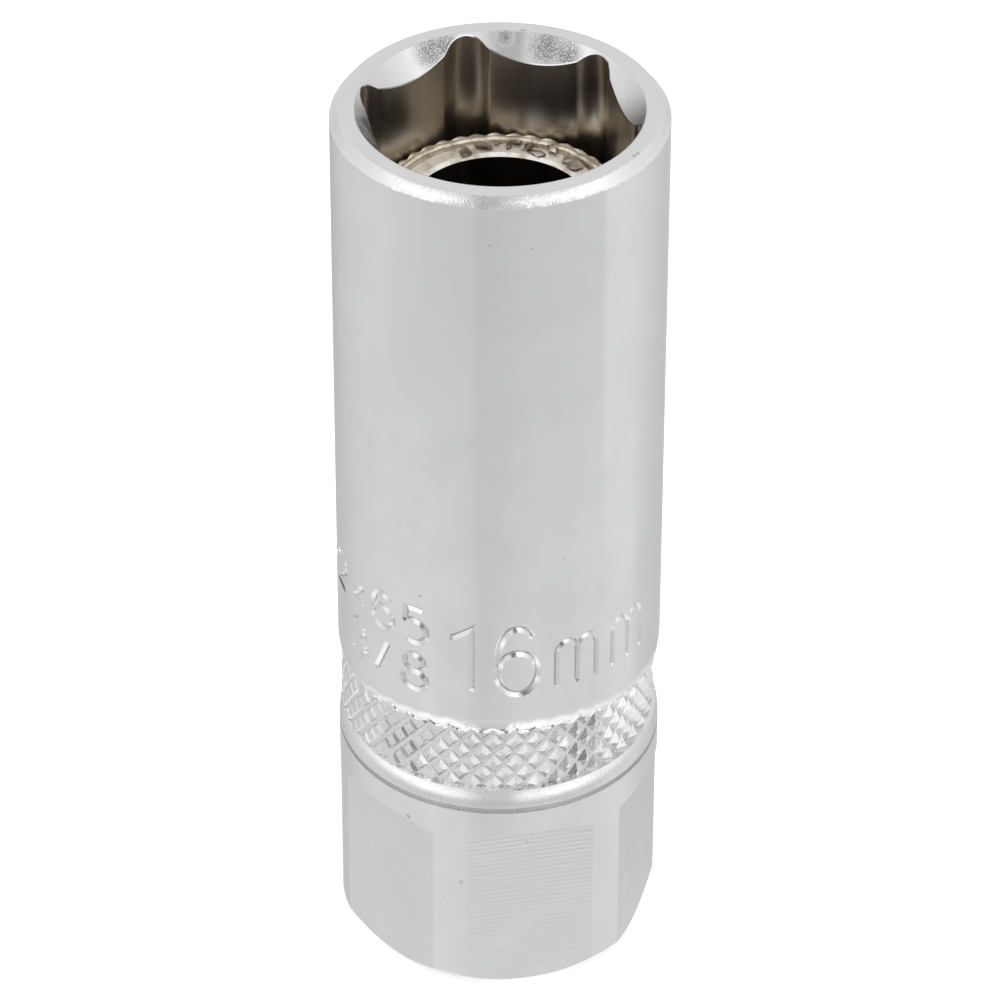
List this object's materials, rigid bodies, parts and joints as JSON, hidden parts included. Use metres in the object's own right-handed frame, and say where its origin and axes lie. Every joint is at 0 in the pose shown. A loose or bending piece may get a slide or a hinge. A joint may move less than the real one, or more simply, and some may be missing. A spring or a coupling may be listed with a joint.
{
  "type": "spark plug socket",
  "caption": "Deep hex socket for spark plugs, with a magnet ring inside and a square drive hole at its other end.",
  "frame": {"origin": "centre of the drive end's face, which the socket stands on", "axes": "+Z along the socket's axis towards the hex mouth; +X and +Y along the sides of the square drive hole"},
  "size_m": [0.022, 0.022, 0.065],
  "materials": {
    "chrome_plate": "bright chrome plate, thin and brownish inside the hex",
    "holder_metal": "pale dull plate on a serrated ring",
    "magnet_plate": "dull nickel plate with metal chips stuck to it"
  },
  "bodies": {
    "root": {"socket_body": "chrome_plate", "magnet_holder": "holder_metal", "ring_magnet": "magnet_plate"}
  },
  "joints": []
}
